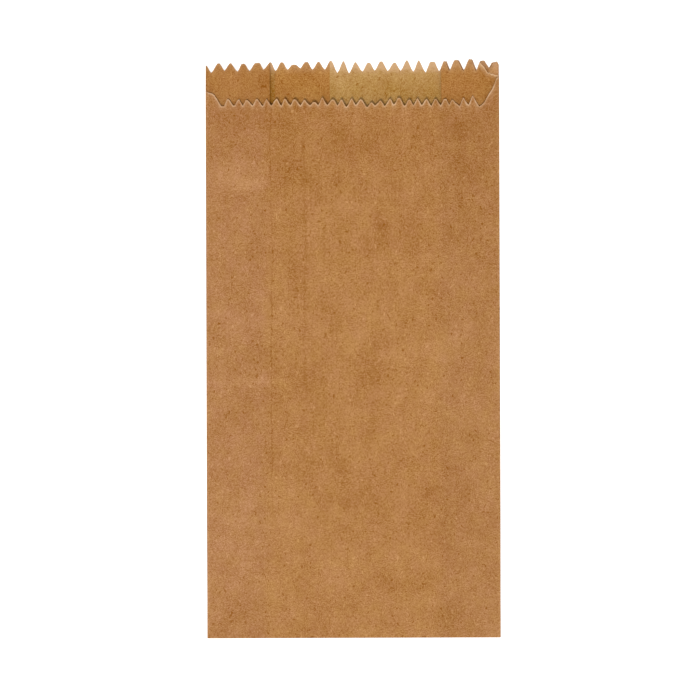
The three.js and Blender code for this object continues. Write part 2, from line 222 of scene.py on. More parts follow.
# %% The level of each ply
COCKLE_ROOM = 2.2  # the arch stays this many wave heights under the solid's top
COCKLE_FADE = 6  # so that the waves are full where the arch has risen by a sixth


def level(ply, x, v):
    """The height of the middle of a ply over the underside of the back."""
    side = PAPER / 2 + SIDE_FOLD_HEIGHT
    depth = np.where(x < 0, GUSSET_DEPTH_LEFT, GUSSET_DEPTH_RIGHT)
    inward = np.clip((edge - np.abs(x)) / depth, 0, 1)
    if ply == "back":
        return 0 * v + pressed["back"]
    if ply == "lap":
        on_lap = smoothstep(x, joggle_top - JOGGLE_RUN, joggle_top)
        return 0 * v + mix(pressed["back"], pressed["lap"], on_lap)
    if ply == "gusset_back":
        sprung = mix(side, GUSSET_LIFT, inward)
    elif ply == "gusset_front":
        sprung = mix(side + GUSSET_MOUTH, GUSSET_LIFT + GUSSET_FOLD_HEIGHT, inward)
    else:
        arch = 1 - np.abs(x / edge) ** ARCH_POWER
        crown = PUFF_HEIGHT - PAPER / 2 - COCKLE_ROOM * COCKLE_HEIGHT
        sprung = mix(side + GUSSET_MOUTH + SIDE_FOLD_HEIGHT, crown, arch)
        sprung = sprung + cockle(x, v) * np.clip(COCKLE_FADE * arch, 0, 1)
    return mix(pressed[ply], sprung, puff(v))


mouth_levels = {ply: round(float(level(ply, 0.0, mouth_tip)) / MM, 2) for ply in PLY}
print("levels at the middle of the mouth, in mm:", mouth_levels)

# %% [markdown]
# ## Folding the blank
#
# `u` runs round the tube from the inner edge of the seam to its outer edge, and `v` up from the
# bottom fold. The spans say which part of `u` is a panel and which is a fold. A fold is half a
# circle between the two plies that it joins, and the whole tube bends about the bottom fold where
# `v` is negative.

# %% Spans of the blank
side_left = {"at": -edge, "out": -1}
side_right = {"at": edge, "out": 1}
inner_left = {"at": GUSSET_DEPTH_LEFT - edge, "out": 1}
inner_right = {"at": edge - GUSSET_DEPTH_RIGHT, "out": -1}
FOLDS = [
    {**side_left, "from": "lap", "to": "gusset_back"},
    {**inner_left, "from": "gusset_back", "to": "gusset_front"},
    {**side_left, "from": "gusset_front", "to": "front"},
    {**side_right, "from": "front", "to": "gusset_front"},
    {**inner_right, "from": "gusset_front", "to": "gusset_back"},
    {**side_right, "from": "gusset_back", "to": "back"},
]


def fold_shape(fold, v):
    """A fold's two heights, its radius, and the x of its middle."""
    start = level(fold["from"], fold["at"], v)
    end = level(fold["to"], fold["at"], v)
    radius = np.abs(end - start) / 2
    return start, end, radius, fold["at"] - fold["out"] * radius


mouth_v = np.array([mouth_tip])  # the spans are measured at the mouth, where the folds are roundest
spans = []
u = 0.0
for number in range(len(FOLDS) + 1):
    before = FOLDS[number - 1] if number else None
    after = FOLDS[number] if number < len(FOLDS) else None
    x0 = fold_shape(before, mouth_v)[3][0] if before else SEAM_EDGE_X
    x1 = fold_shape(after, mouth_v)[3][0] if after else lap_end
    ply = after["from"] if after else "back"
    ends = {"u0": u, "u1": u + abs(x1 - x0), "x0": x0, "x1": x1}
    spans.append({"ply": ply, "before": before, "after": after, **ends})
    u = ends["u1"]
    if after:
        length = math.pi * fold_shape(after, mouth_v)[2][0]
        spans.append({"fold": after, "u0": u, "u1": u + length})
        u += length
print(f"blank {u / MM:.1f} mm wide, {len(spans)} panels and folds")


# %% Folding
def section(span, u, v):
    """Where the line up the blank at u lies across the bag, and its height over the back's underside."""
    share = (u - span["u0"]) / (span["u1"] - span["u0"])
    if "ply" in span:
        x0 = fold_shape(span["before"], v)[3] if span["before"] else SEAM_EDGE_X
        x1 = fold_shape(span["after"], v)[3] if span["after"] else lap_end
        x = mix(x0, x1, share)
        return x + 0 * v, level(span["ply"], x, v)
    start, end, radius, centre = fold_shape(span["fold"], v)
    turn = math.pi * share
    height = (start + end) / 2 + (start - end) / 2 * math.cos(turn)
    return centre + span["fold"]["out"] * radius * math.sin(turn), height


def place(x, height, v):
    """The points of that line in space: up the body, round the bottom fold, or back under it."""
    turn = np.clip(-v, 0, crease_length) * math.pi / crease_length
    radius = CREASE_RADIUS + height
    tail_z = rest_height(0)
    bend = np.stack([x, fold_y - radius * np.sin(turn), tail_z - CREASE_RADIUS + radius * np.cos(turn)])
    body = np.stack([x, fold_y + v, rest_height(v) + height])
    flap = np.stack([x, fold_y - v - crease_length, tail_z - 2 * CREASE_RADIUS - height])
    return np.where(v >= 0, body, np.where(v > -crease_length, bend, flap)).T


inner_corner = place(*section(spans[0], 0.0, mouth_v), mouth_v)[0]
print("the seam's cut edge meets the mouth at", (inner_corner / MM).round(2), "mm")

# %% [markdown]
# ## The knife's cut
#
# One serrated blade cuts the mouth of one bag and the tail of the next. Its teeth are worn, so the
# paper's are not alike: some lean, some are blunt, and a few were torn off short. Each row below is
# one tooth from left to right, in millimetres: how far its tip leans to the right, how wide the tip
# is, how much of it is missing, and how far the valley after it lies to the right and deeper. A
# number below zero is the other way round.

# %% The mouth's teeth
MOUTH_TEETH = [
    (0.6, 0.3, 1.6, -0.2, 1.3),
    (0.4, 0.9, 0.4, 0.2, 0.2),
    (0.0, 0.5, 0.4, 0.5, 0.8),
    (0.1, 1.7, 0.7, 0.1, 0.4),
    (0.9, 2.7, 0.4, 0.8, -0.2),
    (1.3, 0.4, -0.3, 0.5, 0.4),
    (0.5, 1.2, -0.2, 0.3, -0.3),
    (0.3, 2.4, 1.1, 0.3, -1.1),
    (0.2, 1.5, -0.3, 0.1, -0.3),
    (0.0, 0.6, -0.5, 0.0, -0.3),
    (-0.1, 0.9, -1.0, 0.0, 1.5),
    (-0.1, 0.4, -0.9, -0.5, 1.7),
    (-0.5, 0.3, -0.4, 0.0, 0.7),
    (0.0, 1.5, 0.2, -0.2, 0.3),
    (-0.1, 1.2, -0.5, 0.0, 0.4),
    (0.3, 0.9, 0.0, 0.2, 0.3),
    (0.2, 0.4, -1.2, 0.3, 0.9),
    (-0.2, 0.3, -1.1, 0.2, 1.4),
    (0.4, 2.6, -0.2, 0.6, 0.9),
    (0.1, 0.6, -0.6, -0.8, 1.0),
    (-0.5, 1.6, -0.9, 0.0, 1.0),
    (0.2, 1.0, -1.3, 0.0, 1.2),
    (-0.3, 1.2, -0.7, 0.0, -0.3),
    (0.1, 2.8, 0.1, 0.0, 0.0),
]
MOUTH_WORN = 0.25 * MM  # all these tips are this much wider than in the table
print(len(MOUTH_TEETH), "teeth in the mouth's row")

# %% The lip's teeth
LIP_TEETH = [
    (-0.6, 0.6, -0.2, 0.3, -0.1),
    (0.3, 0.3, 0.0, 0.0, 0.0),
    (-0.5, 1.0, 0.6, 0.2, -0.1),
    (-0.2, 0.6, 0.0, 0.6, 0.1),
    (0.0, 0.4, 0.2, 0.1, -0.1),
    (0.3, 0.6, -0.1, 0.4, 0.1),
    (-0.4, 0.4, -0.1, 0.2, -0.1),
    (-0.1, 1.5, 0.5, 0.5, -0.1),
    (0.0, 0.5, 0.6, 0.5, 0.0),
    (0.3, 1.6, 2.0, 0.0, 0.0),
    (-0.4, 0.5, -0.4, -0.2, 0.0),
    (0.2, 1.8, 0.7, 0.1, 0.2),
    (-0.2, 0.7, 0.6, -0.2, 0.9),
    (0.2, 0.4, 0.0, -0.1, 0.0),
    (0.0, 1.3, 0.7, 0.7, 0.8),
    (0.8, 0.3, 2.0, 0.0, 0.0),
    (0.6, 0.5, 1.0, 0.0, 0.4),
    (0.7, 0.4, 0.0, 0.0, 0.3),
    (0.2, 1.4, -0.2, 0.7, 0.5),
    (0.6, 0.5, 0.5, 0.5, 0.0),
    (0.0, 0.4, 0.0, 0.0, 0.1),
    (-0.2, 0.4, 0.1, -0.1, 0.5),
    (-0.4, 0.8, 0.4, 0.0, 0.2),
    (-0.3, 1.5, 0.4, -0.5, 0.1),
    (-1.6, 0.5, 0.6, 0.0, 0.4),
    (-0.6, 0.4, -0.4, -0.3, 0.0),
    (-0.6, 0.4, -1.3, 0.3, 0.5),
]
print(len(LIP_TEETH), "teeth in the lip's row")

# %% [markdown]
# Paper gives a little as it is cut, so the corners are rounded: the straight-sided row is blurred
# along the bag's width by about a third of a millimetre. That shortens sharp tips and fills valleys,
# so the lip's tips and all valleys are first drawn that much longer.

# %% Rows of teeth
TOOTH_STEP = 0.8 * MM  # between points along the cut
BLUR = 0.32 * MM
BLUR_STEP = 0.08 * MM
BLUR_REACH = 3 * BLUR
BLURRED_OFF = 0.3 * MM  # what the blur takes off a sharp tip or fills into a valley


def tooth_row(teeth, tip_x, pitch, tip_v, valley_v, worn=0):
    """The cut's x and v along a row of teeth, from the valley before the first to past the last."""
    corners = [(tip_x - pitch / 2, valley_v)]
    for number, tooth in enumerate(teeth):
        lean, width, lost, valley_lean, deeper = (part * MM for part in tooth)
        width += worn
        x = tip_x + number * pitch
        corners.append((x + lean - width / 2, tip_v - lost))
        corners.append((x + lean + width / 2, tip_v - lost))
        corners.append((x + pitch / 2 + valley_lean, valley_v - deeper))
    xs, vs = np.array(corners).T
    fine_x = np.arange(xs[0], xs[-1], BLUR_STEP)
    reach = np.arange(-BLUR_REACH, BLUR_REACH + BLUR_STEP / 2, BLUR_STEP)
    weight = np.exp(-((reach / BLUR) ** 2) / 2)
    fine_v = sum(w * np.interp(fine_x + r, xs, vs) for w, r in zip(weight, reach)) / weight.sum()
    line = [xs[0]]
    for start, end in zip(xs[:-1], xs[1:]):
        steps = max(1, round((end - start) / TOOTH_STEP))
        line.extend(np.linspace(start, end, steps + 1)[1:])
    return np.stack([line, np.interp(line, fine_x, fine_v)], axis=1)


mouth_valley = mouth_tip - MOUTH_DEPTH
mouth_row = tooth_row(
    MOUTH_TEETH, MOUTH_TIP_X, MOUTH_PITCH, mouth_tip, mouth_valley - BLURRED_OFF, MOUTH_WORN
)
lip_row = tooth_row(
    LIP_TEETH, LIP_TIP_X, LIP_PITCH, lip_tip + BLURRED_OFF, lip_valley - BLURRED_OFF
)
print(f"{len(mouth_row)} points along the mouth, {len(lip_row)} along the lip")

# %% [markdown]
# The front panel is cut lower than the rest, so that a thumb finds it. At the left its cut drops from
# the mouth along the fold itself, and at the right it climbs in a long sweep that runs on round the
# fold and across the upper half of the gusset. Both are given as distance from the fold, along the
# paper, and rise over the valleys of the lip's teeth.

# %% The lip and its two climbs
LEFT_SWEEP = [(9.4, 0), (8.4, 0.3), (6.2, 3.9), (5, 5.7), (4, 6.5), (2, 7.1), (0, 8)]
LEFT_SWEEP_END = -0.3
RIGHT_SWEEP = [
    (10.4, -0.4), (9.5, 0.4), (8.4, 1.4), (7.2, 3.4), (6.2, 5.3), (5.2, 6.9), (4.2, 8.2), (3.6, 9.7),
    (3, 11.1), (2.4, 12.6), (1.8, 14), (0, 15.1), (-3, 16), (-6.4, 17.3), (-7.4, 18.8), (-8.4, 20.1),
]
RIGHT_SWEEP_END = -10.4
CLEAR = 0.2 * MM  # the lip's teeth stop this far from its two climbs


def middle_of(fold):
    """The u of the middle of a fold."""
    span = next(span for span in spans if span.get("fold") is fold)
    return (span["u0"] + span["u1"]) / 2


front = next(span for span in spans if span.get("ply") == "front")
left_fold = middle_of(FOLDS[2])
right_fold = middle_of(FOLDS[3])
left_sweep = [(left_fold + d * MM, lip_valley + rise * MM) for d, rise in reversed(LEFT_SWEEP)]
right_sweep = [(right_fold - d * MM, lip_valley + rise * MM) for d, rise in RIGHT_SWEEP]
lip_u = front["u0"] + lip_row[:, 0] - front["x0"]
lip_inside = (lip_u > left_sweep[-1][0] + CLEAR) & (lip_u < right_sweep[0][0] - CLEAR)
lip_teeth = list(zip(lip_u[lip_inside], lip_row[lip_inside, 1]))
print(f"the lip is cut from u = {left_sweep[-1][0] / MM:.1f} to {right_sweep[0][0] / MM:.1f} mm")

# %% [markdown]
# The mouth's row is one straight cut through the flat bag, so it is laid over every ply and then
# followed along the blank. The lower half of the right gusset slid sideways as the knife went through
# it, so that slivers of its teeth show beside those of the upper half.

# %% The whole outline
SLIVER_SLIP = 0.8 * MM
FOLD_CORNERS = 6  # of the cut, on its way round a fold


def mouth_corners(span):
    """The cut's u and v where the mouth's row runs through a panel or round a fold."""
    if "fold" in span:
        us = np.linspace(span["u0"], span["u1"], FOLD_CORNERS + 2)[1:-1]
        xs = [section(span, u, mouth_v)[0][0] for u in us]
        return list(zip(us, np.interp(xs, *mouth_row.T)))
    slid = SLIVER_SLIP if span["ply"] == "gusset_back" and span["x0"] > 0 else 0
    corners = mouth_row[:, 0] + slid
    ends = sorted((span["x0"], span["x1"]))
    inside = corners[(corners > ends[0] + CLEAR / 2) & (corners < ends[1] - CLEAR / 2)]
    xs = np.concatenate([[ends[0]], inside, [ends[1]]])
    us = span["u0"] + np.abs(xs - span["x0"])
    return sorted(zip(us, np.interp(xs - slid, *mouth_row.T)))


mouth_line = np.array([corner for span in spans for corner in mouth_corners(span)])
left_end = left_fold + LEFT_SWEEP_END * MM
right_end = right_fold - RIGHT_SWEEP_END * MM
lip_ends = [[(end, np.interp(end, *mouth_line.T))] for end in (left_end, right_end)]
cut_line = np.concatenate([
    mouth_line[mouth_line[:, 0] < left_end],
    lip_ends[0],
    left_sweep,
    lip_teeth,
    right_sweep,
    lip_ends[1],
    mouth_line[mouth_line[:, 0] > right_end],
])
print(f"{len(cut_line)} corners in the knife's cut")

# %% [markdown]
# ## The grid
#
# Stations cross the grid at every corner of the cut and often enough between them. Rows lie close
# together where the paper bends and along the cut, and further apart up the plain middle. Near both
# ends the rows are pulled to follow the cut, so that the teeth are edges of the grid and need no
# cutting afterwards.

# %% Stations
STATION_STEP = 0.95 * MM
TORN_STEP = 0.45 * MM  # on the right gusset, where the cut ran out and tore
STRETCH = 0.2  # a gap may be wider by this share of a step before it is divided again
SAME_PLACE = 7  # corners that agree to this many decimals of a metre are one
corner_u = np.concatenate([cut_line[:, 0], [span["u0"] for span in spans]])
corner_u = np.unique(np.round(corner_u, SAME_PLACE))
stations = []
for start, end in zip(corner_u[:-1], corner_u[1:]):
    step = TORN_STEP if right_fold < end < right_end else STATION_STEP
    steps = max(1, math.ceil((end - start) / step - STRETCH))
    stations.extend(np.linspace(start, end, steps, endpoint=False))
stations = np.array([*stations, corner_u[-1]])
print(f"{len(stations)} stations")

# %% Rows
EDGE_ROWS = np.array([0, 0.35, 0.8, 1.5, 2.7, 4.4, 7]) * MM  # distances from the mouth's tips
PULL_RUN = 62 * MM  # this far below the mouth the rows begin to follow the cut
PULLED = 5 * MM  # and here they follow it altogether
pull_start = mouth_tip - PULL_RUN
ROW_BANDS = [  # where each band of rows starts and ends, and how many rows it has
    (-crease_length - TAIL, -crease_length, 9),
    (-crease_length, 0, 6),
    (0, ramp_end, 13),
    (ramp_end, pull_start, 26),
    (pull_start, mouth_tip - EDGE_ROWS[-1], 13),
]
rows = [np.linspace(start, end, count, endpoint=False) for start, end, count in ROW_BANDS]
rows = np.concatenate([*rows, mouth_tip - EDGE_ROWS[::-1]])
pull_up = smoothstep(rows, pull_start, mouth_tip - PULLED)
pull_down = np.clip((-crease_length - rows) / TAIL, 0, 1)
print(f"{len(rows)} rows")

# %% [markdown]
# ## The folded sheet
#
# Single fibres stand off the line of the cut, so each station's end is moved a little at random. The
# sheet also carries measures for the material to read: how far each point is from the cut, where it
# lies across and up the bag, whether the paper lies there alone, how dark or rubbed each side is, and
# how pale its cut fibres are.

# %% The frayed cut
FRAY = 0.06 * MM  # how far single fibres stand off the line of the cut
LIP_FRAY = 0.11 * MM
TORN_FRAY = 0.2 * MM
blade = np.random.default_rng(11)
clean_cut = np.interp(stations, *cut_line.T)
on_lip = (stations > left_end) & (stations < right_end)
torn_cut = on_lip & (stations > right_fold)
fray = np.where(torn_cut, TORN_FRAY, np.where(on_lip, LIP_FRAY, FRAY))
cut_v = clean_cut + blade.normal(0, 1, len(stations)) * fray
slope = np.gradient(clean_cut, stations)
print(f"the cut strays by {abs(cut_v - clean_cut).max() / MM:.2f} mm at most")

# %% Where the paper is alone, shaded or rubbed
left_gusset_end = GUSSET_DEPTH_LEFT - edge
UNDER_FOLD = 0.8 * MM  # how far the single ply is counted in under the left gusset's fold
ALONE = {
    "back": (SEAM_EDGE_X, edge - GUSSET_DEPTH_RIGHT),
    "lap": (left_gusset_end - UNDER_FOLD, lap_end),
}
# Painted shade on the inside of the lap, where it lies alone beside the left gusset's fold: darkest in
# the crevice right beside the fold.
CREVICE_WIDTH = 0.5 * MM  # of the darkest part, right beside the left gusset's fold
PAINTED_CREVICE_SHADE, PAINTED_SHADE_BESIDE_CREVICE = 3.0, 1.0
# Painted shade on the slivers of the right gusset's lower half, within this width of the cut.
SLIVER_WIDTH, PAINTED_SLIVER_SHADE = 1.2 * MM, 1.3
# Where the gusset's upper half was torn off, its lower half shows. Near the fold it was rubbed
# lighter, but not at the tip of its last tooth, and further in the torn edge's shade is painted on it.
RUBBED_CORNER, RUBBED_BELOW_CUT, RUBBED_SHADE = 5.5 * MM, 1.2 * MM, -1.3


def shades(ply, x, to_cut):
    """Whether the paper lies alone, and how far its inside and its outside are darkened there by painted
    shade, or lightened where rubbed.
    """
    first, last = ALONE.get(ply, (0, 0))
    alone = ((x > min(first, last)) & (x < max(first, last))).astype(float)
    inner, outer = np.zeros_like(x), np.zeros_like(x)
    if ply == "lap":
        inner = alone * np.where(x < left_gusset_end + CREVICE_WIDTH, PAINTED_CREVICE_SHADE, PAINTED_SHADE_BESIDE_CREVICE)
    elif ply == "gusset_back":
        near_fold = x > edge - RUBBED_CORNER
        rubbed = near_fold & (to_cut > RUBBED_BELOW_CUT)
        shown = np.where(rubbed, RUBBED_SHADE, np.where(near_fold, 0.0, PAINTED_SLIVER_SHADE))
        sliver = np.where(to_cut < SLIVER_WIDTH, PAINTED_SLIVER_SHADE, 0.0)
        outer = np.where(x > edge + RIGHT_SWEEP_END * MM, shown, sliver)
    return alone, inner, outer


print({ply: f"{abs(last - first) / MM:.1f} mm alone" for ply, (first, last) in ALONE.items()})

# %% Folding every station
USUAL_PALENESS = 0.25  # of the cut fibres
LIP_PALENESS = 0.75
TORN_PALENESS = 1.3  # on the right gusset, where the lip's cut ran out
HAIR = 1e-9  # metres, so that a station on the end of a span is still in it
MEASURES = ("cut_distance", "across", "up", "alone", "inner_shade", "outer_shade", "paleness")
points, blank_uv = [], []
measures = {name: [] for name in MEASURES}
for u, top, lean, torn in zip(stations, cut_v, slope, torn_cut):
    span = next((span for span in spans if u <= span["u1"] + HAIR), spans[-1])
    ply = span.get("ply", "fold")
    v = rows + (top - mouth_tip) * (pull_up + pull_down)
    x, height = section(span, u, v)
    points.append(place(x, height, v))
    blank_uv.append(np.stack([np.full_like(v, u), v], axis=1))
    to_cut = np.minimum(top - v, v - (top - blade_repeat)) / math.hypot(1, lean)
    pale = TORN_PALENESS if torn else LIP_PALENESS if ply == "front" else USUAL_PALENESS
    found = (to_cut / MM, x / MM, v / MM, *shades(ply, x, to_cut), np.full_like(v, pale))
    for name, values in zip(MEASURES, found):
        measures[name].append(values)
print(f"{len(points)} lines of {len(rows)} points")

# %% The sheet's mesh
n_rows = len(rows)
quads = [
    (i * n_rows + j, (i + 1) * n_rows + j, (i + 1) * n_rows + j + 1, i * n_rows + j + 1)
    for i in range(len(stations) - 1)
    for j in range(n_rows - 1)
]
sheet = bpy.data.meshes.new("kraft_sheet")
sheet.from_pydata(np.concatenate(points).tolist(), [], quads)
sheet.polygons.foreach_set("use_smooth", [True] * len(sheet.polygons))
bag = bpy.data.objects.new("paper_bag_sheet", sheet)
bpy.context.scene.collection.objects.link(bag)
print(f"{len(sheet.vertices)} points, {len(sheet.polygons)} faces")

# %% The measures that the sheet carries
for name, values in measures.items():
    layer = sheet.attributes.new(name, "FLOAT", "POINT")
    layer.data.foreach_set("value", np.concatenate(values).astype(np.float32))
flat = np.concatenate(blank_uv) / MM
uv_layer = sheet.uv_layers.new(name="blank")
corner_points = np.empty(len(sheet.loops), dtype=np.int32)
sheet.loops.foreach_get("vertex_index", corner_points)
uv_layer.data.foreach_set("uv", flat[corner_points].astype(np.float32).ravel())
print("measures:", list(measures))

# %% [markdown]
# ## Kraft paper
#
# Unbleached kraft is long softwood fibre, pressed and dried, and left in the brown of its lignin. It
# is opaque, matt and a little fibrous, so it is a dielectric with a high roughness and a low
# specular. All patterns read the flat blank's own coordinates, in millimetres, so that they follow
# the sheet round its folds.
#
# Colours are written as sRGB hex values, and one function turns them into the linear values that the
# nodes work with. One more function adds a node, sets it and links it.

# %% Colours and node helper
def linear(hex_colour):
    """The linear values of an sRGB hex colour, and full alpha."""
    channels = [int(hex_colour[n:n + 2], 16) / 255 for n in (1, 3, 5)]
    return (*[c / 12.92 if c <= 0.04045 else ((c + 0.055) / 1.055) ** 2.4 for c in channels], 1.0)


def add(tree, kind, inputs=(), result=0, **settings):
    """Adds a node, sets its properties, sets or links its inputs, and returns one of its outputs."""
    node = tree.nodes.new(kind)
    for name, value in settings.items():
        setattr(node, name, value)
    for name, value in inputs.items() if isinstance(inputs, dict) else enumerate(inputs):
        if isinstance(value, bpy.types.NodeSocket):
            tree.links.new(value, node.inputs[name])
        else:
            node.inputs[name].default_value = value
    return node.outputs[result] if node.outputs else None


MATH, MIX, MEASURE = "ShaderNodeMath", "ShaderNodeMix", "ShaderNodeAttribute"
VECTOR = "ShaderNodeVectorMath"
# Takes a value, the two values between which it acts, and the two that it gives there: 0 and 1 if
# they aren't named.
RANGE = "ShaderNodeMapRange"
SMOOTH = {"interpolation_type": "SMOOTHSTEP"}
COLOUR_MIX = {"data_type": "RGBA", "result": 2}
SHARE, FIRST, SECOND = 0, 6, 7  # the mix node's inputs for colours
print("the middle of the front:", [round(c, 3) for c in linear("#B07E4C")])

# %% [markdown]
# ### Grain
#
# Every pattern is a noise with a real size. One number, the tone, adds them up: slow drift and
# clouds, where the fibres lie thicker or thinner, as large soft patches, and flocks, fibres and grit
# as the fine grain. Single fibres are some 0.03 mm thick, far finer than a pixel, so the grit is
# drawn at half a millimetre to be seen at all. A few shives, which are bundles of fibres that the
# mill didn't part, stand out pale or dark.

# %% Mottle
FINER_WAVES = 0.65  # how strong each finer wave of a noise is beside the coarser one


def mottle(tree, blank, size, detail, place):
    """The unevenness of the paper over the flat blank, drawn at a size in millimetres."""
    scale = (1 / size[0], 1 / size[1], 1)
    spread = add(tree, "ShaderNodeMapping", {"Vector": blank, "Scale": scale, "Location": (place,) * 3})
    inputs = {"Vector": spread, "Scale": 1.0, "Detail": detail, "Roughness": FINER_WAVES}
    return add(tree, "ShaderNodeTexNoise", inputs)


print(f"each finer wave of a noise is {FINER_WAVES} as strong as the one before")

# %% The grain of kraft
# name: (size across and up the bag in millimetres, detail, place in the noise, weight in the tone)
GRAIN = {
    "drift": ((60, 90), 1.0, 77.0, 0.26),
    "clouds": ((11, 15), 2.5, 3.7, 0.66),
    "flocks": ((2.8, 3.2), 0.0, 31.0, 0.18),
    "fibres": ((1.3, 1.2), 1.0, 17.1, 0.82),
    "grit": ((0.55, 0.5), 0.0, 9.9, 1.04),
}
SHIVE = ((1.3, 1.8), 0.0, 63.5)
PALE_SHIVE = (0.76, 0.84, 0.0, 0.34)  # from, to, and the tone that is added from and to
DARK_SHIVE = (0.24, 0.18, 0.0, -0.4)


def grain(tree, blank):
    """The tone of the plain paper, about 0.5 on average, and each pattern in it."""
    patterns = {}
    tone = 0.5 - sum(weight for size, detail, place, weight in GRAIN.values()) / 2
    for name, (size, detail, place, weight) in GRAIN.items():
        patterns[name] = mottle(tree, blank, size, detail, place)
        tone = add(tree, MATH, (patterns[name], weight, tone), operation="MULTIPLY_ADD")
    shives = mottle(tree, blank, *SHIVE)
    for shive in (PALE_SHIVE, DARK_SHIVE):
        tone = add(tree, MATH, (tone, add(tree, RANGE, (shives, *shive), **SMOOTH)))
    return tone, patterns


print("grain sizes in mm:", {name: values[0] for name, values in GRAIN.items()})

# %% [markdown]
# The tone picks a colour between a dark kraft and a light one. Lignin swallows blue light most, so
# dark flecks are more saturated than pale ones. A noise of its own turns the colour a little towards
# rose or towards olive. These turns are factors on red, green and blue, as all tints here are.

# %% Colour from tone
HUE = ((7, 9), 4.0, 41.3)
HUE_TURN = (0.25, 0.75)  # the noise's values at full olive and at full rose
ROSY = (1.025, 0.99, 1.25, 1.0)
OLIVE = (0.975, 1.01, 0.75, 1.0)


def coloured(tree, blank, tone, dark, light, hue):
    """The colour of a tone, turned in hue by a share."""
    colour = add(tree, MIX, {SHARE: tone, FIRST: linear(dark), SECOND: linear(light)}, **COLOUR_MIX)
    turn = add(tree, RANGE, (mottle(tree, blank, *HUE), *HUE_TURN), **SMOOTH)
    tint = add(tree, MIX, {SHARE: turn, FIRST: OLIVE, SECOND: ROSY}, **COLOUR_MIX)
    tinted = {SHARE: hue, FIRST: colour, SECOND: tint}
    return add(tree, MIX, tinted, blend_type="MULTIPLY", **COLOUR_MIX)


print(f"blue varies from {OLIVE[2]} to {ROSY[2]} of the mixed colour's")

# %% [markdown]
# ### What folding and handling left on the outside
#
# Two lines run up the front: over the seam's glue, and where the left gusset's inner fold presses
# against the panel. They could be modelled, but they are a change of tone with hardly any height, so
# they are drawn: dark soft lines that wander, break up and fade. The paper was also rubbed paler in
# some places, and lies thicker and darker in others. The side folds are paler, partly where the
# crease broke the glaze and partly painted light, as the folds curve away from the sky.

# %% Press lines
# In millimetres: the line's middle across the bag, half its width, and where it starts to fade in
# and out. Then the change of tone.
PRESS_LINES = [(-24.5, 1.5, 95, 285, -0.16), (-41.6, 0.7, 30, 285, -0.24)]
FADE_IN, FADE_OUT = 60, 6
WANDER = ((400, 26), 1.0, 5.0)  # size, detail and place of the noise that sways the lines
WANDER_BY = 3.2
BREAKS = ((4, 9), 1.0)
BROKEN = (0.35, 0.6, 0.35, 1.0)  # from, to, and the share of the line that is left from and to


def press_line(tree, blank, x, half_width, bottom, top, change):
    """A soft line up the panel at x, which wanders a little, breaks up and fades at its ends."""
    across = add(tree, MEASURE, attribute_name="across", result="Fac")
    up = add(tree, MEASURE, attribute_name="up", result="Fac")
    sway = (mottle(tree, blank, *WANDER), WANDER_BY, -x - WANDER_BY / 2)
    off = add(tree, MATH, (across, add(tree, MATH, sway, operation="MULTIPLY_ADD")))
    off = add(tree, MATH, (off,), operation="ABSOLUTE")
    line = add(tree, RANGE, (off, 0.0, half_width, change, 0.0), **SMOOTH)
    starts = add(tree, RANGE, (up, bottom, bottom + FADE_IN), **SMOOTH)
    ends = add(tree, RANGE, (up, top, top + FADE_OUT, 1.0, 0.0), **SMOOTH)
    broken = add(tree, RANGE, (mottle(tree, blank, *BREAKS, x), *BROKEN), **SMOOTH)
    for share in (starts, ends, broken):
        line = add(tree, MATH, (line, share), operation="MULTIPLY")
    return line


print("press lines at", [line[0] for line in PRESS_LINES], "mm")

# %% Rubbed places
# In millimetres: the middle, from the bag's own middle, and the half widths across and up. Then the
# change of tone.
RUBBED = [
    (-58, 90, 17, 9, 0.20),
    (-52, 84, 9, 4, 0.16),
    (-52, -16, 22, 3, 0.13),
    (-47, -87, 24, 4, 0.10),
    (-60, -48, 13, 10, 0.06),
    (35, -128, 10, 6, 0.10),
    (11, 62, 9, 11, -0.12),
    (11, 0, 9, 11, -0.12),
    (-2, -71, 11, 11, -0.12),
    (61, -44, 6, 6, -0.16),
    (56, 92, 4, 24, -0.12),
    (60, -82, 12, 14, -0.05),
]
RUBBED_FADE = (0.3, 1.3)  # in half widths from the middle
bag_middle_u = (front["u0"] - front["x0"]) / MM
bag_middle_v = (low[1] + BAG_LENGTH / 2 - fold_y) / MM


def rubbed_place(tree, blank, ragged, x, y, half_across, half_up, change):
    """A soft ragged patch on the front panel."""
    middle = (bag_middle_u + x, bag_middle_v + y, 0)
    away = add(tree, VECTOR, (blank, middle), operation="SUBTRACT")
    away = add(tree, VECTOR, (away, (half_across, half_up, 1)), operation="DIVIDE")
    far = add(tree, VECTOR, (away,), operation="LENGTH", result="Value")
    far = add(tree, MATH, (far, ragged))
    return add(tree, RANGE, (far, *RUBBED_FADE, change, 0.0), **SMOOTH)


print(f"{len(RUBBED)} rubbed or darker places")

# %% All that handling left
RAGGED = 1.6  # half widths by which the clouds move a patch's border
PALE_FOLD_WIDTH = 1.8  # millimetres
# In millimetres up the bag or off its middle: from, to, and the change of tone from and to.
MOUTH_SHADE = (205.0, 265.0, 0.0, -0.11)  # the front darkens a little towards its lip
# The side folds are paler where the crease broke the glaze, and partly painted light, as the folds curve
# away from the sky.
WORN_FOLD_AND_PAINTED_LIGHT = (edge / MM - PALE_FOLD_WIDTH, edge / MM, 0.0, 0.2)  # a crease breaks the glaze and is paler


